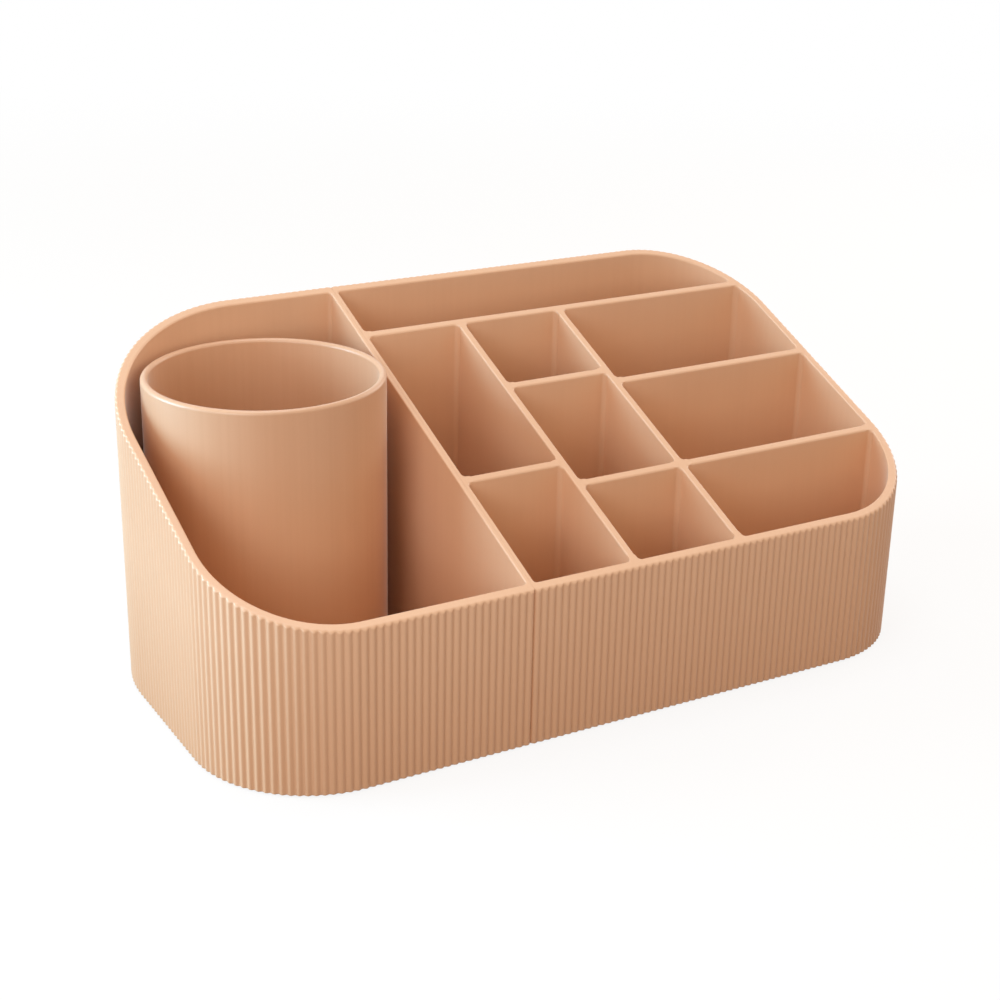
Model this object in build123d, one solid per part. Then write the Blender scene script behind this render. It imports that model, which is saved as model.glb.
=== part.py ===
"""Modular vanity organizer: two ribbed trays, a lift-out round cup and slot-in dividers.

Millimetres, +Z up, front of the organizer towards -Y, standing on Z = 0.
"""
import os
from math import cos, pi, radians, sin, sqrt, tan

from build123d import *

# Overall form, measured over the crests of the ribs
overall_length = 380.0
overall_depth = 212.0
front_height = 78.0
back_height = 165.0
front_corner_radius = 58.0
back_left_corner_radius = 84.0
back_right_corner_radius = 58.0

# Moulded walls
rib_pitch = 3.7
rib_height = 0.9
rib_facets = 4
wall_thickness = 3.9
floor_thickness = 3.0
end_wall_thickness = 2.0
end_corner_radius = 4.0
floor_chamfer = 2.5

# Where the two trays meet, and the keys under the floor that hold them together
seam_from_left = 140.6
seam_gap = 0.2
key_from_ends = 62.0
key_neck_width = 16.0
key_flare_angle = 14.0
key_length = 14.0
key_thickness = 1.6
key_clearance = 0.25

# Dividers, placed by their centre planes
divider_thickness = 3.8
left_column_from_left = 196.0
right_column_from_left = 255.5
back_row_from_back = 38.7
rear_middle_from_back = 88.5
rear_right_from_back = 96.8
front_left_from_front = 69.2
front_row_from_front = 54.6
divider_end_clearance = 0.25

# Guides that hold the ends of a divider
guide_reach = 2.4
guide_land = 0.5
guide_clearance = 0.15

# Round cup
cup_diameter = 115.6
cup_top_height = 148.0
cup_wall = 3.6
cup_floor = 3.2
cup_foot_height = 1.6
cup_foot_inset = 1.4
cup_cove_radius = 5.0
cup_facet_angle = 45.0
cup_wall_clearance = 4.3
cup_corner_angle = 51.6

# Anti-slip feet
foot_diameter = 14.0
foot_thickness = 1.8
foot_stand = 0.8
foot_clearance = 0.15
foot_margin = 12.0

# Places worked out from the sizes above
left = -overall_length / 2
right = overall_length / 2
front = -overall_depth / 2
back = overall_depth / 2
tray_bottom = foot_stand
floor_top = tray_bottom + floor_thickness
seam = left + seam_from_left
inner_inset = rib_height + wall_thickness
rim_plane = Plane(
    origin=(0, front, front_height),
    x_dir=(1, 0, 0),
    z_dir=(0, front_height - back_height, overall_depth),
)


def below_rim(solid):
    """Cut a solid off flush with the sloping rim."""
    return split(solid, bisect_by=rim_plane, keep=Keep.BOTTOM)


def prism(face, bottom, top):
    """Stand a plan face up between two heights."""
    return extrude(Pos(0, 0, bottom) * face, amount=top - bottom)


def left_path(inset, end):
    """Plan line of the left tray from the seam in front, round the left side, to the seam behind."""
    front_radius = front_corner_radius - inset
    back_radius = back_left_corner_radius - inset
    first = Line((end, front + inset), (left + front_corner_radius, front + inset))
    front_turn = JernArc(first @ 1, (-1, 0), front_radius, -90)
    side = Line(front_turn @ 1, (left + inset, back - back_left_corner_radius))
    back_turn = JernArc(side @ 1, (0, 1), back_radius, -90)
    last = Line(back_turn @ 1, (end, back - inset))
    return Wire([first, front_turn, side, back_turn, last])


def right_path(inset, end):
    """Plan line of the right tray from the seam behind, round the right side, to the seam in front."""
    front_radius = front_corner_radius - inset
    back_radius = back_right_corner_radius - inset
    first = Line((end, back - inset), (right - back_right_corner_radius, back - inset))
    back_turn = JernArc(first @ 1, (1, 0), back_radius, -90)
    side = Line(back_turn @ 1, (right - inset, front + front_corner_radius))
    front_turn = JernArc(side @ 1, (0, -1), front_radius, -90)
    last = Line(front_turn @ 1, (end, front + inset))
    return Wire([first, back_turn, side, front_turn, last])


def closed_face(path):
    """Close an open plan line with a straight edge at the seam and fill it."""
    return make_face([*path.edges(), Line(path @ 1, path @ 0)])


def ribbed_face(path):
    """Fill the plan whose outer line is a row of ribs, each a faceted half wave on the given valley line."""
    count = round(path.length / rib_pitch)
    points = []
    for index in range(count * rib_facets + 1):
        along = path.length * index / (count * rib_facets)
        way = path.tangent_at(along, position_mode=PositionMode.LENGTH)
        rise = rib_height * abs(sin(pi * index / rib_facets))
        points.append(path.position_at(along, position_mode=PositionMode.LENGTH) + Vector(-way.Y, way.X) * rise)
    return make_face(Polyline(*points, close=True))


def key_face(y, grow):
    """Dovetail key in plan, from the seam into the left tray, with its sides moved out by grow."""
    neck = key_neck_width / 2 + grow
    length = key_length + grow
    tip = neck + length * tan(radians(key_flare_angle))
    start = seam + seam_gap
    end = seam - length
    return make_face(Polyline((start, y - neck), (end, y - tip), (end, y + tip), (start, y + neck), close=True))


def guide_pair(x, y, into, root):
    """Two filleted guides that flank the end of a divider running the way of into, rooted in their carrier."""
    side = divider_thickness / 2 + guide_clearance
    reach = guide_land + guide_reach
    profile = make_face(
        [
            Polyline((reach, side + guide_land), (reach, side), (-root, side), (-root, side + reach),
                     (guide_land, side + reach)),
            RadiusArc((guide_land, side + reach), (reach, side + guide_land), guide_reach),
        ]
    )
    both = profile + mirror(profile, about=Plane.XZ)
    return prism(Plane(origin=(x, y, 0), x_dir=into, z_dir=(0, 0, 1)) * both, floor_top, back_height)


def right_wall_at(y):
    """Place of the inner face of the right-hand wall at a given depth."""
    back_centre = back - back_right_corner_radius
    front_centre = front + front_corner_radius
    if y > back_centre:
        radius = back_right_corner_radius - inner_inset
        return right - back_right_corner_radius + sqrt(radius**2 - (y - back_centre) ** 2)
    if y < front_centre:
        radius = front_corner_radius - inner_inset
        return right - front_corner_radius + sqrt(radius**2 - (front_centre - y) ** 2)
    return right - inner_inset


def standing_box(x0, x1, y0, y1):
    """A plain block that stands on the tray floor."""
    return Pos((x0 + x1) / 2, (y0 + y1) / 2, floor_top) * Box(
        x1 - x0, y1 - y0, back_height, align=(Align.CENTER, Align.CENTER, Align.MIN)
    )


# Centre planes of the dividers, and the faces that they meet
left_column = left + left_column_from_left
right_column = left + right_column_from_left
back_row = back - back_row_from_back
rear_middle = back - rear_middle_from_back
rear_right = back - rear_right_from_back
front_left = front + front_left_from_front
front_row = front + front_row_from_front
half_divider = divider_thickness / 2
right_tray_end = seam + seam_gap / 2
left_tray_end = seam - seam_gap / 2
right_tray_inner_end = right_tray_end + end_wall_thickness
left_tray_inner_end = left_tray_end - end_wall_thickness
front_inner = front + inner_inset
key_places = (front + key_from_ends, back - key_from_ends)

TO_RIGHT = (1, 0, 0)
TO_LEFT = (-1, 0, 0)
TO_BACK = (0, 1, 0)
TO_FRONT = (0, -1, 0)


def foot_pocket(place):
    """Round recess under a tray that takes an anti-slip foot."""
    depth = foot_thickness - foot_stand
    return Pos(place.X, place.Y, tray_bottom) * Cylinder(
        foot_diameter / 2 + foot_clearance, depth, align=(Align.CENTER, Align.CENTER, Align.MIN)
    )


def foot(place):
    """One anti-slip foot."""
    return Pos(place.X, place.Y, 0) * Cylinder(
        foot_diameter / 2, foot_thickness, align=(Align.CENTER, Align.CENTER, Align.MIN)
    )


# Feet sit in from the corners of each tray
foot_inset = inner_inset + foot_margin
corner_share = 1 - cos(radians(45))
left_feet = [
    Vector(left_tray_end - foot_inset, front + foot_inset),
    Vector(left_tray_end - foot_inset, back - foot_inset),
    Vector(left, front) + Vector(1, 1) * (foot_inset + (front_corner_radius - foot_inset) * corner_share),
    Vector(left, back) + Vector(1, -1) * (foot_inset + (back_left_corner_radius - foot_inset) * corner_share),
]
right_feet = [
    Vector(right_tray_end + foot_inset, front + foot_inset),
    Vector(right_tray_end + foot_inset, back - foot_inset),
    Vector(right, front) + Vector(-1, 1) * (foot_inset + (front_corner_radius - foot_inset) * corner_share),
    Vector(right, back) + Vector(-1, -1) * (foot_inset + (back_right_corner_radius - foot_inset) * corner_share),
]


def make_left_tray():
    """Ribbed tray for the cup, with its own flat wall at the seam."""
    body = prism(ribbed_face(left_path(rib_height, left_tray_end)), tray_bottom, back_height)
    room = prism(closed_face(left_path(inner_inset, left_tray_inner_end)), floor_top, back_height)
    end_edges = room.edges().filter_by(Axis.Z).group_by(Axis.X)[-1]
    room = fillet(end_edges, end_corner_radius)
    room = chamfer(room.faces().sort_by(Axis.Z)[0].edges(), floor_chamfer)
    tray = below_rim(body - room)
    for y in key_places:
        socket = key_face(y, key_clearance)
        tray -= prism(socket, tray_bottom, tray_bottom + key_thickness + key_clearance)
    for place in left_feet:
        tray -= foot_pocket(place)
    return tray


def make_right_tray():
    """Ribbed tray for the dividers, with the guides for their ends and the keys under the left tray."""
    body = prism(ribbed_face(right_path(rib_height, right_tray_end)), tray_bottom, back_height)
    tray = body - prism(closed_face(right_path(inner_inset, right_tray_inner_end)), floor_top, back_height)
    guides = [guide_pair(x, front_inner, TO_BACK, wall_thickness) for x in (left_column, right_column)]
    guides += [guide_pair(right_tray_inner_end, y, TO_RIGHT, wall_thickness) for y in (back_row, front_left)]
    for y in (back_row, rear_right, front_row):
        guides.append(guide_pair(right_wall_at(y), y, TO_LEFT, wall_thickness))
    for guide in guides:
        tray += guide & body
    tray = below_rim(tray)
    for y in key_places:
        tray += prism(key_face(y, 0), tray_bottom, tray_bottom + key_thickness)
    for place in right_feet:
        tray -= foot_pocket(place)
    return tray


def make_dividers():
    """Slot-in panels, each trimmed to the room inside the right tray and flush with its rim."""
    inset = inner_inset + divider_end_clearance
    room_end = right_tray_inner_end + divider_end_clearance
    room = prism(closed_face(right_path(inset, room_end)), floor_top, back_height)
    column_back = back_row - half_divider - divider_end_clearance

    def cross(x0, x1, y):
        return standing_box(x0, x1, y - half_divider, y + half_divider)

    def column(x):
        return standing_box(x - half_divider, x + half_divider, front, column_back)

    left_column_faces = (left_column - half_divider, left_column + half_divider)
    right_column_faces = (right_column - half_divider, right_column + half_divider)
    middle_start = left_column_faces[1] + divider_end_clearance
    middle_end = right_column_faces[0] - divider_end_clearance
    right_start = right_column_faces[1] + divider_end_clearance
    left_end = left_column_faces[0] - divider_end_clearance

    panels = {
        "back_row_divider": cross(seam, right, back_row),
        "left_column_divider": column(left_column),
        "right_column_divider": column(right_column),
        "rear_middle_divider": cross(middle_start, middle_end, rear_middle),
        "rear_right_divider": cross(right_start, right, rear_right),
        "front_left_divider": cross(seam, left_end, front_left),
        "front_middle_divider": cross(middle_start, middle_end, front_row),
        "front_right_divider": cross(right_start, right, front_row),
    }
    panels = {name: panel & room for name, panel in panels.items()}

    # Guides on the faces of the panels that carry the ends of other panels
    for x in (left_column, right_column):
        panels["back_row_divider"] += guide_pair(x, back_row - half_divider, TO_FRONT, half_divider)
    panels["left_column_divider"] += guide_pair(left_column_faces[0], front_left, TO_LEFT, half_divider)
    for y in (rear_middle, front_row):
        panels["left_column_divider"] += guide_pair(left_column_faces[1], y, TO_RIGHT, half_divider)
        panels["right_column_divider"] += guide_pair(right_column_faces[0], y, TO_LEFT, half_divider)
    for y in (rear_right, front_row):
        panels["right_column_divider"] += guide_pair(right_column_faces[1], y, TO_RIGHT, half_divider)
    return {name: below_rim(panel) for name, panel in panels.items()}


def quarter_facets(centre, radius, start_angle, turn):
    """Points on a round edge of a turned profile, over a quarter or half turn, in steps of cup_facet_angle."""
    steps = round(abs(turn) / cup_facet_angle)
    angles = [radians(start_angle + turn * n / steps) for n in range(steps + 1)]
    return [(centre[0] + radius * cos(angle), centre[1] + radius * sin(angle)) for angle in angles]


def cup_place():
    """Centre of the cup, a clearance away from the wall of the rounded back-left corner."""
    away = back_left_corner_radius - inner_inset - cup_diameter / 2 - cup_wall_clearance
    turn = radians(cup_corner_angle)
    corner_centre = Vector(left + back_left_corner_radius, back - back_left_corner_radius, floor_top)
    return corner_centre + Vector(-cos(turn), sin(turn)) * away


def make_cup():
    """Turned round cup with a narrower foot, a coved floor and a full-round rim."""
    radius = cup_diameter / 2
    bore = radius - cup_wall
    foot_radius = radius - cup_foot_inset
    top = cup_top_height - floor_top
    rim = cup_wall / 2
    outside = [(0, 0), (foot_radius, 0), (foot_radius, cup_foot_height), (radius, cup_foot_height + cup_foot_inset)]
    lip = quarter_facets((radius - rim, top - rim), rim, 0, 180)
    cove = quarter_facets((bore - cup_cove_radius, cup_floor + cup_cove_radius), cup_cove_radius, 0, -90)
    profile = make_face(Polyline(*outside, *lip, *cove, (0, cup_floor), close=True))
    cup = revolve(Plane.XZ * profile, axis=Axis.Z)
    return Pos(cup_place()) * cup


parts = {"left_tray": make_left_tray(), "right_tray": make_right_tray(), "round_cup": make_cup()}
parts.update(make_dividers())
for number, place in enumerate(left_feet, start=1):
    parts[f"left_foot_{number}"] = foot(place)
for number, place in enumerate(right_feet, start=1):
    parts[f"right_foot_{number}"] = foot(place)

os.makedirs("parts", exist_ok=True)
for name, shape in parts.items():
    export_step(shape, f"parts/{name}.step")
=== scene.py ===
import math

import bpy
import numpy as np
from mathutils import Matrix, Vector


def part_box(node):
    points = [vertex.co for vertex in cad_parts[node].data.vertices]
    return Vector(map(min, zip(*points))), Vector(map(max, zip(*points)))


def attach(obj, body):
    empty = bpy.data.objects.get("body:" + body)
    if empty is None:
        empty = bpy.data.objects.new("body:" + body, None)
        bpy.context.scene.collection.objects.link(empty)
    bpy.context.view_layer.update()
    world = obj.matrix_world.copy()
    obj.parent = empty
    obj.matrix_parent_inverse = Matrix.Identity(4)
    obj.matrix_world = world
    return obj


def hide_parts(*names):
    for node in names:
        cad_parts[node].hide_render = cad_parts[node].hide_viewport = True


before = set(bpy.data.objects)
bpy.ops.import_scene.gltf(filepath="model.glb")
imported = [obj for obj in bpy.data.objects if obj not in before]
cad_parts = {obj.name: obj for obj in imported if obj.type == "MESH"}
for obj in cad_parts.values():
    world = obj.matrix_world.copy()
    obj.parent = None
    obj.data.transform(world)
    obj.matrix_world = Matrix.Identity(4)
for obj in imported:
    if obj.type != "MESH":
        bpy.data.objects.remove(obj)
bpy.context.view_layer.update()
print("frame loaded:", len(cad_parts), "nodes")

# lengths in metres, x to the right, y to the back, z up, as in the frame
mm = 0.001
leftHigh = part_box("left_tray")[1]
rightLow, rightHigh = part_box("right_tray")
cupLow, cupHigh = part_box("round_cup")
sideX = rightHigh[0]
frontY, backY = rightLow[1], rightHigh[1]
trayBottom = rightLow[2]

rim = {
    "frontHeight": 78 * mm,      # above the table, at the front face
    "backHeight": rightHigh[2],  # at the back face
    "roundInside": 0.8 * mm,
    "roundOutside": 1.4 * mm,    # over a rib's crest
    "roundFade": 0.9,            # share of the rib's depth lost in the rounding
    "roundSeam": 0.06 * mm,      # nearly sharp, so the two end walls read as one
}

shell = {
    "frontCorner": 58 * mm,
    "backCornerLeft": 84 * mm,
    "backCornerRight": 58 * mm,
    "ribPitch": 3.7 * mm,
    "ribHeight": 0.9 * mm,
    "ribDepth": 0.8 * mm,
    "ribSharpness": 0.85,
    "ribSamples": 12,
    "wall": 3.9 * mm,
    "floor": 3.0 * mm,
    "endWall": 2.0 * mm,
    "endSteps": 40,              # stations along the flat end wall
    "solidGap": 0.2 * mm,        # working gap between the solids, with the seam in its middle
    "seamGap": 0.06 * mm,        # closer than that, as the pressed-together trays look
    "seamGroove": 0.55 * mm,     # how much deeper than a valley the ribs end at the seam
    "seamGrooveWidth": 0.45 * mm,
    "bottomRound": 0.5 * mm,
    "roundSteps": 6,             # steps in a quarter circle
}

floorTop = trayBottom + shell["floor"]
seamMiddleX = leftHigh[0] + shell["solidGap"] / 2
seamLeftX = seamMiddleX - shell["seamGap"] / 2
seamRightX = seamMiddleX + shell["seamGap"] / 2
innerInset = shell["ribHeight"] + shell["wall"]


def rimHeight(y):
    # plane through the low front edge and the high back edge
    share = (y - frontY) / (backY - frontY)
    return rim["frontHeight"] + (rim["backHeight"] - rim["frontHeight"]) * share


def ringFaces(rows, cols, flip=False):
    # quads between neighbouring rows of a closed ring, row after row
    r, c = np.meshgrid(np.arange(rows - 1), np.arange(cols), indexing="ij")
    nextC = (c + 1) % cols
    corners = [r * cols + c, r * cols + nextC, (r + 1) * cols + nextC, (r + 1) * cols + c]
    quads = np.stack(corners, -1).reshape(-1, 4)
    return quads[:, ::-1] if flip else quads


def endFaces(rows, cols):
    # one flat face over the first row of a stack of rings and one over its last
    last = (rows - 1) * cols
    return [list(range(cols))[::-1], list(range(last, last + cols))]


def meshObject(name, parts):
    # one mesh from one or more parts, each a pair of points and faces
    verts, faces, start = [], [], 0
    for points, polygons in parts:
        verts.append(points)
        faces += [[i + start for i in polygon] for polygon in polygons]
        start += len(points)
    mesh = bpy.data.meshes.new(name)
    mesh.from_pydata(np.concatenate(verts).tolist(), [], faces)
    piece = bpy.data.objects.new(name, mesh)
    bpy.context.scene.collection.objects.link(piece)
    return piece


def mould(piece, parts, way):
    # joins closed parts to a piece, or cuts them out of it, and keeps the result as its mesh
    tool = meshObject("tool", parts)
    step = piece.modifiers.new("mould", "BOOLEAN")
    step.operation = way
    step.solver = "MANIFOLD"
    step.object = tool
    bpy.context.view_layer.update()
    shaped = piece.evaluated_get(bpy.context.evaluated_depsgraph_get())
    piece.data = bpy.data.meshes.new_from_object(shaped)
    piece.modifiers.clear()
    bpy.data.objects.remove(tool)


sharpAngle = math.radians(38)    # edges sharper than this stay crisp


def addPiece(name, body, node, material, main, joined=(), cut=()):
    # a finished piece in the place of a solid: its main part, with parts joined and cut out
    piece = meshObject(name, [main])
    if joined:
        mould(piece, joined, "UNION")
    if cut:
        mould(piece, cut, "DIFFERENCE")
    mesh = piece.data
    mesh.polygons.foreach_set("use_smooth", np.ones(len(mesh.polygons), dtype=bool))
    mesh.set_sharp_from_angle(angle=sharpAngle)
    mesh.materials.clear()
    mesh.materials.append(material)
    weighted = piece.modifiers.new("flatFaces", "WEIGHTED_NORMAL")
    weighted.keep_sharp = True
    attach(piece, body)
    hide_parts(node)
    print(name, len(mesh.polygons), "faces")


def trayLine(tray):
    # valley line of the ribs: front run, front corner, side run, back corner, back run, with u measured
    # away from the middle; gives its length, and a function for points, outward normals and run numbers
    rf, rb = tray["frontCorner"] - shell["ribHeight"], tray["backCorner"] - shell["ribHeight"]
    u0, u1 = tray["endU"], tray["sideU"] - shell["ribHeight"]
    y0, y1 = frontY + shell["ribHeight"], backY - shell["ribHeight"]
    runs = [u1 - rf - u0, rf * math.pi / 2, y1 - y0 - rf - rb, rb * math.pi / 2, u1 - rb - u0]
    starts = np.concatenate([[0], np.cumsum(runs)])

    def pointsAt(along):
        run = np.clip(np.searchsorted(starts, along, side="right") - 1, 0, len(runs) - 1)
        t = along - starts[run]
        turnF, turnB = t / rf - math.pi / 2, t / rb
        zero, one = np.zeros_like(t), np.ones_like(t)
        cornerU = u1 - rf + rf * np.cos(turnF), u1 - rb + rb * np.cos(turnB)
        cornerY = y0 + rf + rf * np.sin(turnF), y1 - rb + rb * np.sin(turnB)
        u = np.choose(run, [u0 + t, cornerU[0], one * u1, cornerU[1], u1 - rb - t])
        y = np.choose(run, [one * y0, cornerY[0], y0 + rf + t, cornerY[1], one * y1])
        normalU = np.choose(run, [zero, np.cos(turnF), one, np.cos(turnB), zero])
        normalY = np.choose(run, [-one, np.sin(turnF), zero, np.sin(turnB), one])
        return np.stack([u, y], -1), np.stack([normalU, normalY], -1), run

    return starts[-1], pointsAt


def ribFall(phase):
    # how far the surface lies below a rib's crest: a cosine wave raised to a power near 1
    wave = (0.5 - 0.5 * np.cos(2 * math.pi * phase)) ** shell["ribSharpness"]
    return shell["ribDepth"] * (1 - wave)


def trayShell(tray):
    # a wall profile carried round the ribbed line and back along the flat end wall
    total, pointsAt = trayLine(tray)
    count = round(total / shell["ribPitch"])
    along = np.linspace(0, total, count * shell["ribSamples"] + 1)
    valley, normal, run = pointsAt(along)
    # a fine groove where the ribs run out at the seam: a bell curve of the way to the nearer end
    toEnd = np.minimum(along, total - along)
    groove = shell["seamGroove"] * np.exp(-(toEnd / shell["seamGrooveWidth"]) ** 2)
    fall = ribFall(along / total * count) + groove
    outer = valley + normal * (shell["ribHeight"] - fall)[:, None]
    inner = valley - normal * shell["wall"]
    innerEnd = tray["endU"] + shell["endWall"]
    corner = tray["endCorner"]
    for number, radius in ((0, tray["frontCorner"]), (4, tray["backCorner"])):
        # the inside of a straight run ends at the end wall's own corner
        pick = run == number
        turn = tray["sideU"] - radius
        inner[pick, 0] = turn + (inner[pick, 0] - turn) * (turn - innerEnd - corner) / (turn - tray["endU"])
    # the end wall: its two inner corners with the outside opposite them, and the straight between
    q = np.linspace(0, 1, shell["roundSteps"] + 1)[1:]
    yBack, yFront = backY - innerInset, frontY + innerInset
    turn = math.pi / 2 * (1 + q)
    backIn = np.stack([innerEnd + corner + corner * np.cos(turn), yBack - corner + corner * np.sin(turn)], -1)
    frontIn = np.stack([backIn[:, 0][::-1], -backIn[:, 1][::-1] + yBack + yFront], -1)
    outerReach = shell["wall"] + corner + shell["ribHeight"] - shell["ribDepth"]
    endU = np.full(len(q), tray["endU"])
    backOut = np.stack([endU, backY - shell["ribDepth"] - q * outerReach], -1)
    frontOut = np.stack([endU, frontY + shell["ribDepth"] + q[::-1] * outerReach], -1)
    between = np.linspace(yBack - corner, yFront + corner, shell["endSteps"] + 1)[1:-1]
    endIn = np.stack([np.full(len(between), innerEnd), between], -1)
    endOut = np.stack([np.full(len(between), tray["endU"]), between], -1)
    outer = np.concatenate([outer, backOut, endOut, frontOut])
    inner = np.concatenate([inner, backIn, endIn, frontIn])
    across = inner - outer
    across /= np.linalg.norm(across, axis=1)[:, None]
    outRound = np.full(len(outer), rim["roundSeam"])
    outRound[:len(along)] = rim["roundOutside"] - rim["roundFade"] * fall
    inRound = np.full(len(outer), rim["roundInside"])
    rows = []

    def addRow(points, height, fromRim):
        # height is measured down from the rim, or up from the table
        z = rimHeight(points[:, 1]) - height if fromRim else np.full(len(points), height)
        rows.append(np.column_stack([points * [tray["side"], 1], z]))

    # four quarter circles: the underside's edge, the rim outside and inside, and the cove at the floor
    quarter = np.radians(np.linspace(0, 90, shell["roundSteps"] + 1))
    low = shell["bottomRound"]
    cove = tray["cove"]
    for a in quarter:
        addRow(outer + across * low * (1 - math.sin(a)), trayBottom + low * (1 - math.cos(a)), False)
    for a in quarter:
        addRow(outer + across * (outRound * (1 - math.cos(a)))[:, None], outRound * (1 - math.sin(a)), True)
    for a in quarter[::-1]:
        addRow(inner - across * (inRound * (1 - math.cos(a)))[:, None], inRound * (1 - math.sin(a)), True)
    for a in quarter:
        addRow(inner + across * cove * (1 - math.cos(a)), floorTop + cove * (1 - math.sin(a)), False)
    # underside and floor are fans about the middle of the first row and of the last
    cols = len(outer)
    flip = tray["side"] < 0
    points = np.concatenate(rows + [rows[0].mean(0)[None], rows[-1].mean(0)[None]])
    quads = ringFaces(len(rows), cols, flip).tolist()
    c = np.arange(cols)
    nextC = (c + 1) % cols
    last = (len(rows) - 1) * cols
    under = np.stack([np.full(cols, len(points) - 2), nextC, c], -1)
    floor = np.stack([np.full(cols, len(points) - 1), last + c, last + nextC], -1)
    caps = np.concatenate([under, floor])
    return points, quads + (caps[:, ::-1] if flip else caps).tolist()


divider = {
    "thickness": 3.8 * mm,
    "topRound": rim["roundInside"],
    "topSteps": 5,
    "fillet": 2.6 * mm,        # hollow fillet of the guides beside a divider's end
    "filletSteps": 9,
    "filletRoot": 1.1,         # how far a guide is let into what carries it, in topRounds
    "rollShort": 0.95,         # share of the room beside the divider that a guide's rounding takes
    "guideGap": 0.03 * mm,
    "guideShort": 0.01 * mm,   # guides end this far from the top and the floor, so that no faces coincide
    "guideSink": 0.5 * mm,     # but the trays' guides reach down into the floor
    "endGap": 0.03 * mm,
    "squareEnd": 1.2 * mm,     # length over which the rounded top turns square next to a guide
    "squareSteps": 3,
    "meetSquare": (0.3 * mm, 1.4 * mm),   # square and rounded again, beside a divider that meets this one
}
half = divider["thickness"] / 2


def standingSolid(loop, roll, bottom, lower=0.0):
    # a plan loop, anticlockwise, stood up to the rim;
    # over the quarter circle at the top each point moves by its own roll
    edge = divider["topRound"]
    rows = [np.column_stack([loop, np.full(len(loop), bottom)])]
    for a in np.radians(np.linspace(0, 90, divider["topSteps"] + 1)):
        points = loop + roll * edge * (1 - math.cos(a))
        rows.append(np.column_stack([points, rimHeight(points[:, 1]) - lower - edge * (1 - math.sin(a))]))
    faces = ringFaces(len(rows), len(loop)).tolist()
    return np.concatenate(rows), faces + endFaces(len(rows), len(loop))


def guidePair(x, y, intoX, intoY, sink=-divider["guideShort"], wallAt=None):
    # hollow quarter fillets on both sides of a divider's end, sheared along where the wall behind is curved
    side = half + divider["guideGap"]
    radius, root = divider["fillet"], divider["topRound"] * divider["filletRoot"]
    a = np.radians(np.linspace(270, 180, divider["filletSteps"] + 1))
    away = np.stack([np.cos(a), np.sin(a)], -1)
    hollow = [radius, side + radius] + radius * away
    plan = np.concatenate([[[radius, side]], hollow, [[-root, side + radius], [-root, side]]])
    # the rounding stops short of the divider's side, so that the top doesn't fold over itself
    leastDrop = 0.01
    room = radius * (1 + away[:, 1]) / np.maximum(-away[:, 1], leastDrop)
    share = np.clip(divider["rollShort"] * room / divider["topRound"], 0, 1)
    roll = np.zeros_like(plan)
    roll[1:-2] = away * share[:, None]
    plan[1, 1] += divider["guideGap"]
    spin = np.array([[intoX, intoY], [-intoY, intoX]])
    solids = []
    for mirror in (1, -1):
        loop = plan * [1, mirror] @ spin + [x, y]
        move = roll * [1, mirror] @ spin
        if wallAt is not None:
            loop[:, 0] += wallAt(loop[:, 1]) - x
        if mirror < 0:
            loop, move = loop[::-1], move[::-1]
        solids.append(standingSolid(loop, move, floorTop - sink, divider["guideShort"]))
    return solids


def middleOf(node, axis):
    # halfway between the two faces of a node's box along one axis
    low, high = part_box(node)
    return (low[axis] + high[axis]) / 2


def rightWallX(y):
    # inner face of the right-hand wall, straight between its two rounded corners
    back, front = backY - shell["backCornerRight"], frontY + shell["frontCorner"]
    radius = shell["backCornerRight"] - innerInset
    past = np.maximum(np.maximum(y - back, front - y), 0)
    return sideX - shell["backCornerRight"] + np.sqrt(radius**2 - past**2)


leftCol, rightCol = middleOf("left_column_divider", 0), middleOf("right_column_divider", 0)
shortRows = ("rear_middle", "rear_right", "front_left", "front_middle", "front_right")
rowY = {f"{name}_divider": middleOf(f"{name}_divider", 1) for name in shortRows}
rowY["back_row_divider"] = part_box("back_row_divider")[1][1] - half
endWallFace = seamRightX + shell["endWall"]


def slabPlan(start, end, laps, meets):
    # plan of a slab between two end lines, each with a point right and a point left of the way along it;
    # its long edges are rolled in, but square beside the guides and where another divider meets them,
    # and an end with a lap reaches over the rolled edge of the tray wall it meets
    start, end = np.array(start), np.array(end)
    way = (end - start).mean(0)
    way /= np.linalg.norm(way)
    inward = np.array([-way[1], way[0]])
    ease = np.linspace(0, 1, divider["squareSteps"] + 1)
    square = divider["fillet"] + ease * divider["squareEnd"]
    beside = half + np.array(divider["meetSquare"])
    edges, rolls = [], []
    for line, turnIn in ((0, inward), (1, -inward)):
        length = (end[line] - start[line]) @ way
        crossings = np.array(meets[line]) - start[line] @ way
        around = crossings[:, None] + np.concatenate([-beside[::-1], beside])
        at = np.concatenate([square, length - square, around.ravel()])
        share = np.concatenate([ease, ease, np.tile([1, 0, 0, 1], len(crossings))])
        order = np.argsort(at)
        along = start[line] + at[order][:, None] * way
        rolled = share[order][:, None] * turnIn
        edges.append(np.concatenate([start[line][None], along, end[line][None]]))
        rolls.append(np.concatenate([-way[None] * laps[0], rolled, way[None] * laps[1]]))
    return np.concatenate([edges[0], edges[1][::-1]]), np.concatenate([rolls[0], rolls[1][::-1]])


def crossPlan(x0, x1, y, laps, frontMeets=()):
    # a divider that runs from side to side; a right end of None follows the tray wall
    front, back = y - half, y + half
    ends = [rightWallX(at) - divider["endGap"] if x1 is None else x1 for at in (front, back)]
    return slabPlan([[x0, front], [x0, back]], [[ends[0], front], [ends[1], back]], laps, (frontMeets, ()))


def columnPlan(x, rightMeets, leftMeets):
    # a divider that runs from the front wall to the back row
    y0 = frontY + innerInset + divider["endGap"]
    y1 = rowY["back_row_divider"] - half - divider["endGap"]
    right, left = x + half, x - half
    return slabPlan([[right, y0], [left, y0]], [[right, y1], [left, y1]], (1, 0), (rightMeets, leftMeets))


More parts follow.
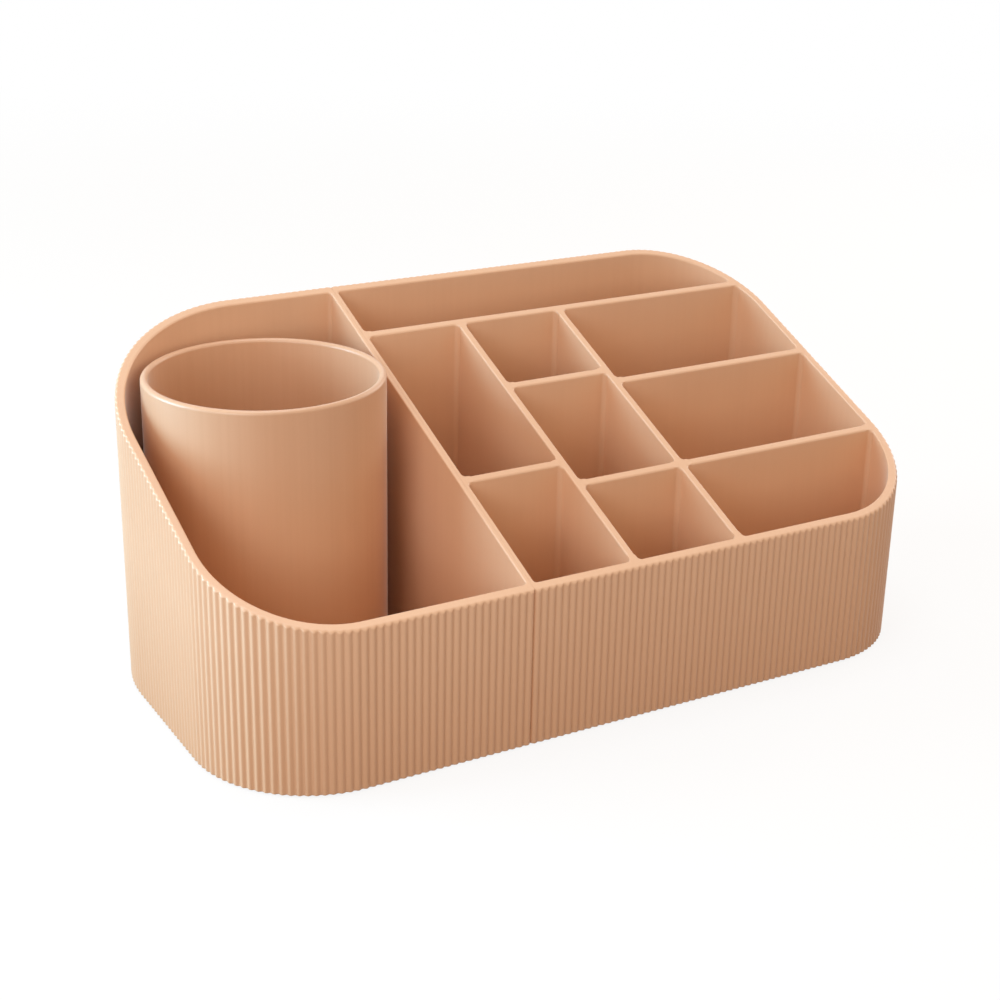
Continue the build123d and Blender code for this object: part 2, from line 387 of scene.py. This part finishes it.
# materials
peach = {
    "light": (0.84, 0.528, 0.335),
    "deep": (0.805, 0.493, 0.305),
    "low": (0.70, 0.385, 0.21),      # painted shade: a darker tone near the table, fading out with height
    "lowShare": 0.75,
    "lowHeight": 75 * mm,
    "cupTint": (0.90, 0.86, 0.83),   # painted shade: the smooth cup is a little deeper than the trays, a darker copy of the same plastic
    "streakShare": {"tray": 0.35, "panel": 0.25, "cup": 0.6},
    "roughness": (0.36, 0.44),
    "specular": 0.8,
    "sheen": 0.5,
    "sheenRoughness": 0.3,
    "cloudScale": 14.0,
    "cloudDetail": 3.0,
    "streakScale": (420.0, 420.0, 5.0),
    "streakDetail": 2.0,
    "grainScale": 1900.0,
    "grainDetail": 2.0,
    "grainDepth": 0.00004,
    "grainStrength": 0.6,
}
silicone = {
    "light": (0.84, 0.82, 0.78),
    "deep": (0.74, 0.72, 0.68),
    "cloudScale": 300.0,
    "cloudDetail": 2.0,
    "roughness": (0.55, 0.7),
}
noiseSpan = (0.3, 0.7)  # a noise node's output stays mostly within this
mixSockets = {"FLOAT": (2, 3, 0), "RGBA": (6, 7, 2)}  # where a mix has its two inputs and its result


def newMaterial(name):
    # a new material with its nodes, links and main shader
    material = bpy.data.materials.new(name)
    material.use_nodes = True
    tree = material.node_tree
    return material, tree.nodes, tree.links, tree.nodes["Principled BSDF"]


def noiseNode(nodes, links, vector, scale, detail):
    # soft noise between 0 and 1
    noise = nodes.new("ShaderNodeTexNoise")
    noise.inputs["Scale"].default_value = scale
    noise.inputs["Detail"].default_value = detail
    links.new(vector, noise.inputs["Vector"])
    return noise.outputs["Fac"]


def rangeNode(nodes, links, value, source, target, way="LINEAR"):
    # a value carried from the source range to the target range
    span = nodes.new("ShaderNodeMapRange")
    span.interpolation_type = way
    for name, number in zip(("From Min", "From Max", "To Min", "To Max"), (*source, *target)):
        span.inputs[name].default_value = number
    links.new(value, span.inputs["Value"])
    return span.outputs["Result"]


def mixNode(nodes, links, kind, share, first, second):
    # share, first and second are each a constant or another node's output
    mix = nodes.new("ShaderNodeMix")
    mix.data_type = kind
    firstAt, secondAt, resultAt = mixSockets[kind]
    for at, value in ((0, share), (firstAt, first), (secondAt, second)):
        if isinstance(value, bpy.types.NodeSocket):
            links.new(value, mix.inputs[at])
        else:
            mix.inputs[at].default_value = value
    return mix.outputs[resultAt]


def peachPlastic(name, streakShare, shadeTint=(1.0, 1.0, 1.0)):
    # satin moulded plastic: slow clouds of tone, upright flow streaks and a fine grain, and painted shade
    # towards the table
    # a factor below one gives a darker copy of the plastic, as painted shade
    deep, light, low = ((*np.multiply(peach[key], shadeTint), 1) for key in ("deep", "light", "low"))
    material, nodes, links, shader = newMaterial(name)
    place = nodes.new("ShaderNodeTexCoord").outputs["Object"]
    stretch = nodes.new("ShaderNodeMapping")
    stretch.inputs["Scale"].default_value = peach["streakScale"]
    links.new(place, stretch.inputs["Vector"])
    cloud = noiseNode(nodes, links, place, peach["cloudScale"], peach["cloudDetail"])
    streak = noiseNode(nodes, links, stretch.outputs["Vector"], 1.0, peach["streakDetail"])
    grain = noiseNode(nodes, links, place, peach["grainScale"], peach["grainDetail"])
    blend = mixNode(nodes, links, "FLOAT", streakShare, cloud, streak)
    toneShare = rangeNode(nodes, links, blend, noiseSpan, (0, 1))
    tone = mixNode(nodes, links, "RGBA", toneShare, deep, light)
    # painted shade: the tone deepens evenly towards the table, standing in for the dimmer light low down
    height = nodes.new("ShaderNodeSeparateXYZ")
    links.new(place, height.inputs[0])
    lowShare = rangeNode(nodes, links, height.outputs["Z"], (0, peach["lowHeight"]), (peach["lowShare"], 0))
    toneWithPaintedShade = mixNode(nodes, links, "RGBA", lowShare, tone, low)
    links.new(toneWithPaintedShade, shader.inputs["Base Color"])
    links.new(rangeNode(nodes, links, grain, noiseSpan, peach["roughness"]), shader.inputs["Roughness"])
    shader.inputs["Specular IOR Level"].default_value = peach["specular"]
    shader.inputs["Sheen Weight"].default_value = peach["sheen"]
    shader.inputs["Sheen Roughness"].default_value = peach["sheenRoughness"]
    relief = nodes.new("ShaderNodeBump")
    relief.inputs["Distance"].default_value = peach["grainDepth"]
    relief.inputs["Strength"].default_value = peach["grainStrength"]
    links.new(grain, relief.inputs["Height"])
    links.new(relief.outputs["Normal"], shader.inputs["Normal"])
    return material


def milkySilicone():
    # soft milky rubber with a faint cloud in it
    material, nodes, links, shader = newMaterial("milkySilicone")
    place = nodes.new("ShaderNodeTexCoord").outputs["Object"]
    cloud = noiseNode(nodes, links, place, silicone["cloudScale"], silicone["cloudDetail"])
    tone = mixNode(nodes, links, "RGBA", cloud, (*silicone["deep"], 1), (*silicone["light"], 1))
    links.new(tone, shader.inputs["Base Color"])
    links.new(rangeNode(nodes, links, cloud, noiseSpan, silicone["roughness"]), shader.inputs["Roughness"])
    return material


trayPlastic = peachPlastic("peachTray", peach["streakShare"]["tray"])
panelPlastic = peachPlastic("peachPanel", peach["streakShare"]["panel"])
cupPlastic = peachPlastic("peachCup", peach["streakShare"]["cup"], peach["cupTint"])
footSilicone = milkySilicone()
print("materials made")

# trays
leftTray = {
    "side": -1,
    "endU": -seamLeftX,
    "sideU": sideX,
    "endCorner": 2 * mm,
    "cove": 2.5 * mm,
    "frontCorner": shell["frontCorner"],
    "backCorner": shell["backCornerLeft"],
}
rightTray = {
    "side": 1,
    "endU": seamRightX,
    "sideU": sideX,
    "endCorner": 1.5 * mm,
    "cove": 0.5 * mm,
    "frontCorner": shell["frontCorner"],
    "backCorner": shell["backCornerRight"],
}
link = {
    "fromEnds": 62 * mm,
    "neck": 8 * mm,            # half of a key's width at the seam
    "length": 14 * mm,
    "flare": math.radians(14),
    "thickness": 1.6 * mm,
    "clearance": 0.25 * mm,
    "cutPast": 1 * mm,         # the left tray's cuts begin this far past the seam
    "keyRoot": 1.5 * mm,       # and the keys this far inside their own tray
    "keyLift": 0.02 * mm,      # above the underside, so that no faces coincide
}
pocket = {"gap": 0.15 * mm, "segments": 64}


def flatPrism(loop, low, high):
    # a plan loop, anticlockwise, between two heights
    points = np.concatenate([np.column_stack([loop, np.full(len(loop), z)]) for z in (low, high)])
    return points, ringFaces(2, len(loop)).tolist() + endFaces(2, len(loop))


def dovetails(grow, startX, low):
    # the two keys under the floor, wider towards their tips, with their faces moved out by grow
    tipX = seamMiddleX - link["length"] - grow
    neck = link["neck"] + grow
    tip = neck + (link["length"] + grow) * math.tan(link["flare"])
    plan = np.array([[startX, neck], [tipX, tip], [tipX, -tip], [startX, -neck]])
    high = trayBottom + link["thickness"] + grow
    middles = (frontY + link["fromEnds"], backY - link["fromEnds"])
    return [flatPrism(plan + [0, y], low, high) for y in middles]


def footPockets(side):
    # round recesses that the feet sit in
    a = np.linspace(0, 2 * math.pi, pocket["segments"], endpoint=False)
    pockets = []
    for number in range(1, 5):
        low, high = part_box(f"{side}_foot_{number}")
        radius = (high[0] - low[0]) / 2 + pocket["gap"]
        plan = np.stack([radius * np.cos(a), radius * np.sin(a)], -1) + ((low + high) / 2)[:2]
        pockets.append(flatPrism(plan, low[2], high[2]))
    return pockets


leftCuts = dovetails(link["clearance"], seamLeftX + link["cutPast"], 0.0) + footPockets("left")
addPiece("leftTrayShell", "left_tray_body", "left_tray", trayPlastic, trayShell(leftTray), cut=leftCuts)
trayGuides = []
sink = divider["guideSink"]
for x in (leftCol, rightCol):
    trayGuides += guidePair(x, frontY + innerInset, 0, 1, sink)
for name in ("back_row_divider", "front_left_divider"):
    trayGuides += guidePair(endWallFace, rowY[name], 1, 0, sink)
for name in ("back_row_divider", "rear_right_divider", "front_right_divider"):
    trayGuides += guidePair(float(rightWallX(rowY[name])), rowY[name], -1, 0, sink, rightWallX)
keys = dovetails(0.0, seamRightX + link["keyRoot"], trayBottom + link["keyLift"])
addPiece("rightTrayShell", "right_tray_body", "right_tray", trayPlastic, trayShell(rightTray),
         trayGuides + keys, footPockets("right"))
print("trays made")

# dividers
gap = divider["endGap"]
leftWallEnd, rightColEnd = endWallFace + gap, rightCol + half + gap
middleSpan = (leftCol + half + gap, rightCol - half - gap)
middleRows = [rowY["front_middle_divider"], rowY["rear_middle_divider"]]
rightRows = [rowY["front_right_divider"], rowY["rear_right_divider"]]
plans = {
    "back_row_divider": crossPlan(leftWallEnd, None, rowY["back_row_divider"], (1, 1), [leftCol, rightCol]),
    "left_column_divider": columnPlan(leftCol, middleRows, [rowY["front_left_divider"]]),
    "right_column_divider": columnPlan(rightCol, rightRows, middleRows),
    "rear_middle_divider": crossPlan(*middleSpan, rowY["rear_middle_divider"], (0, 0)),
    "rear_right_divider": crossPlan(rightColEnd, None, rowY["rear_right_divider"], (0, 1)),
    "front_left_divider": crossPlan(leftWallEnd, leftCol - half - gap, rowY["front_left_divider"], (1, 0)),
    "front_middle_divider": crossPlan(*middleSpan, rowY["front_middle_divider"], (0, 0)),
    "front_right_divider": crossPlan(rightColEnd, None, rowY["front_right_divider"], (0, 1)),
}
guides = {name: [] for name in plans}
for x in (leftCol, rightCol):
    guides["back_row_divider"] += guidePair(x, rowY["back_row_divider"] - half, 0, -1)
guides["left_column_divider"] += guidePair(leftCol - half, rowY["front_left_divider"], -1, 0)
for name in ("rear_middle_divider", "front_middle_divider"):
    guides["left_column_divider"] += guidePair(leftCol + half, rowY[name], 1, 0)
    guides["right_column_divider"] += guidePair(rightCol - half, rowY[name], -1, 0)
for name in ("rear_right_divider", "front_right_divider"):
    guides["right_column_divider"] += guidePair(rightCol + half, rowY[name], 1, 0)
for name, plan in plans.items():
    first, *rest = name.split("_")
    pieceName = first + "".join(word.title() for word in rest) + "Panel"
    addPiece(pieceName, name + "_body", name, panelPlastic, standingSolid(*plan, floorTop), guides[name])
print("dividers made:", len(plans))

# cup
cup = {
    "wall": 3.6 * mm,
    "floor": 3.2 * mm,
    "footHeight": 1.6 * mm,
    "footInset": 1.4 * mm,
    "footRound": 0.5 * mm,
    "cove": 5 * mm,
    "segments": 256,
    "footSteps": 4,
    "lipSteps": 16,
    "coveSteps": 8,
}


def arcPoints(cx, cz, radius, start, end, steps):
    # points on an arc of a profile, between two angles in degrees
    a = np.radians(np.linspace(start, end, steps + 1))
    return np.stack([cx + radius * np.cos(a), cz + radius * np.sin(a)], -1)


def cupShell():
    # profile turned about the cup's axis: foot, outside, full-round lip, inside, cove, floor
    radius, base, top = (cupHigh[0] - cupLow[0]) / 2, cupLow[2], cupHigh[2]
    lip, bore, foot = cup["wall"] / 2, radius - cup["wall"], radius - cup["footInset"]
    inside, cove, footRound = base + cup["floor"], cup["cove"], cup["footRound"]
    profile = np.concatenate([
        arcPoints(foot - footRound, base + footRound, footRound, -90, 0, cup["footSteps"]),
        [[foot, base + cup["footHeight"]], [radius, base + cup["footHeight"] + cup["footInset"]]],
        arcPoints(radius - lip, top - lip, lip, 0, 180, cup["lipSteps"]),
        arcPoints(bore - cove, inside + cove, cove, 0, -90, cup["coveSteps"]),
    ])
    a = np.linspace(0, 2 * math.pi, cup["segments"], endpoint=False)
    centre = (cupLow + cupHigh) / 2
    x = centre[0] + profile[:, :1] * np.cos(a)
    y = centre[1] + profile[:, :1] * np.sin(a)
    z = np.repeat(profile[:, 1:], len(a), 1)
    points = np.stack([x, y, z], -1).reshape(-1, 3)
    return points, ringFaces(len(profile), len(a)).tolist() + endFaces(len(profile), len(a))


addPiece("roundCupShell", "round_cup_body", "round_cup", cupPlastic, cupShell())
print("cup made")

for name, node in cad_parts.items():
    if "foot" in name:
        node.data.materials.clear()
        node.data.materials.append(footSilicone)
print("feet finished")

# stage
stage = {
    "floorSize": 8.0,
    "bounce": (0.18, 0.13, 0.10),   # what the floor throws back at the object
    "pale": (0.97, 0.97, 0.97),     # and what is seen of it
    "cameraShare": 0.86,            # share of plain white near the object, the rest takes its shadow
    "fade": (0.6, 1.8),             # distances between which it goes over to plain white
}
sky = {"fill": (1.0, 0.775, 0.58), "strength": 0.73}
white = (1, 1, 1, 1)


def seenDirectly(nodes, links):
    # 1 where the ray comes from the camera, a mirror or glass, and 0 elsewhere
    rays = nodes.new("ShaderNodeLightPath")
    seen = rays.outputs["Is Camera Ray"]
    for name in ("Is Glossy Ray", "Is Transmission Ray"):
        either = nodes.new("ShaderNodeMath")
        either.operation = "MAXIMUM"
        links.new(seen, either.inputs[0])
        links.new(rays.outputs[name], either.inputs[1])
        seen = either.outputs[0]
    return seen


def mixShaders(nodes, links, output, share, first, second):
    # a mix of two shaders, led to a new output of the kind named
    mix = nodes.new("ShaderNodeMixShader")
    for at, value in enumerate((share, first, second)):
        links.new(value, mix.inputs[at])
    links.new(mix.outputs[0], nodes.new(output).inputs["Surface"])


def paleFloor():
    # a floor that takes the object's shadow and goes over to plain white, so that its edge doesn't show
    material = bpy.data.materials.new("paleFloor")
    material.use_nodes = True
    nodes, links = material.node_tree.nodes, material.node_tree.links
    nodes.clear()
    seen = seenDirectly(nodes, links)
    tone = mixNode(nodes, links, "RGBA", seen, (*stage["bounce"], 1), (*stage["pale"], 1))
    diffuse = nodes.new("ShaderNodeBsdfDiffuse")
    links.new(tone, diffuse.inputs["Color"])
    glow = nodes.new("ShaderNodeEmission")
    glow.inputs["Color"].default_value = white
    place = nodes.new("ShaderNodeTexCoord")
    away = nodes.new("ShaderNodeVectorMath")
    away.operation = "LENGTH"
    links.new(place.outputs["Object"], away.inputs[0])
    whiteShare = (stage["cameraShare"], 1)
    fade = rangeNode(nodes, links, away.outputs["Value"], stage["fade"], whiteShare, "SMOOTHSTEP")
    glowShare = nodes.new("ShaderNodeMath")
    glowShare.operation = "MULTIPLY"
    links.new(seen, glowShare.inputs[0])
    links.new(fade, glowShare.inputs[1])
    shaders = diffuse.outputs[0], glow.outputs[0]
    mixShaders(nodes, links, "ShaderNodeOutputMaterial", glowShare.outputs[0], *shaders)
    return material


def studioWorld():
    # warm fill for the object and plain white behind it
    world = bpy.data.worlds.new("studio")
    world.use_nodes = True
    nodes, links = world.node_tree.nodes, world.node_tree.links
    nodes.clear()
    lights = []
    for colour, strength in (((*sky["fill"], 1), sky["strength"]), (white, 1.0)):
        background = nodes.new("ShaderNodeBackground")
        background.inputs["Color"].default_value = colour
        background.inputs["Strength"].default_value = strength
        lights.append(background.outputs[0])
    mixShaders(nodes, links, "ShaderNodeOutputWorld", seenDirectly(nodes, links), *lights)
    return world


reach = stage["floorSize"] / 2
floorCorners = [(-reach, -reach, 0), (reach, -reach, 0), (reach, reach, 0), (-reach, reach, 0)]
floorPiece = meshObject("paleFloor", [(floorCorners, [(0, 1, 2, 3)])])
floorPiece.data.materials.append(paleFloor())
bpy.context.scene.world = studioWorld()

lamps = {
    "softKey": {"place": (-1.5, 0.72, 0.46), "size": 0.9, "power": 33.0, "colour": (0.44, 0.77, 1.0)},
    "sideFill": {"place": (-0.7, -0.45, 0.38), "size": 0.4, "power": 1.9, "colour": (0.86, 0.94, 1.0)},
    "rightFill": {"place": (1.3, 0.32, 0.55), "size": 0.7, "power": 4.0, "colour": (1.0, 0.96, 0.92)},
    "topFill": {"place": (-0.1, 0.05, 1.4), "size": 0.6, "power": 5.0, "colour": (0.66, 0.85, 1.0)},
}
lampAim = Vector((0, 0, 60 * mm))
for name, lamp in lamps.items():
    light = bpy.data.lights.new(name, "AREA")
    light.energy = lamp["power"]
    light.size = lamp["size"]
    light.color = lamp["colour"]
    holder = bpy.data.objects.new(name, light)
    holder.location = lamp["place"]
    holder.visible_camera = False
    holder.rotation_euler = (lampAim - Vector(lamp["place"])).to_track_quat("-Z", "Y").to_euler()
    bpy.context.scene.collection.objects.link(holder)
print("light set")

# camera as in the photograph, its angles in degrees: yaw from the back towards the right, pitch downwards
view = {
    "place": (-0.4318, -0.7260, 0.4117),
    "yaw": 30.34,
    "pitch": 21.77,
    "roll": 1.23,
    "lens": 65.28,
    "sensor": 36.0,
}
yaw, pitch, roll = (math.radians(view[k]) for k in ("yaw", "pitch", "roll"))
ahead = Vector((math.sin(yaw) * math.cos(pitch), math.cos(yaw) * math.cos(pitch), -math.sin(pitch)))
level = Vector((math.cos(yaw), -math.sin(yaw), 0))
upright = level.cross(ahead)
right = level * math.cos(roll) + upright * math.sin(roll)
up = upright * math.cos(roll) - level * math.sin(roll)
camera = bpy.data.cameras.new("camera")
camera.lens = view["lens"]
camera.sensor_width = view["sensor"]
cameraHolder = bpy.data.objects.new("camera", camera)
turned = Matrix((right, up, -ahead)).transposed()
cameraHolder.matrix_world = Matrix.Translation(view["place"]) @ turned.to_4x4()
bpy.context.scene.collection.objects.link(cameraHolder)
bpy.context.scene.camera = cameraHolder
bpy.context.scene.view_settings.view_transform = "Standard"
print("camera set")
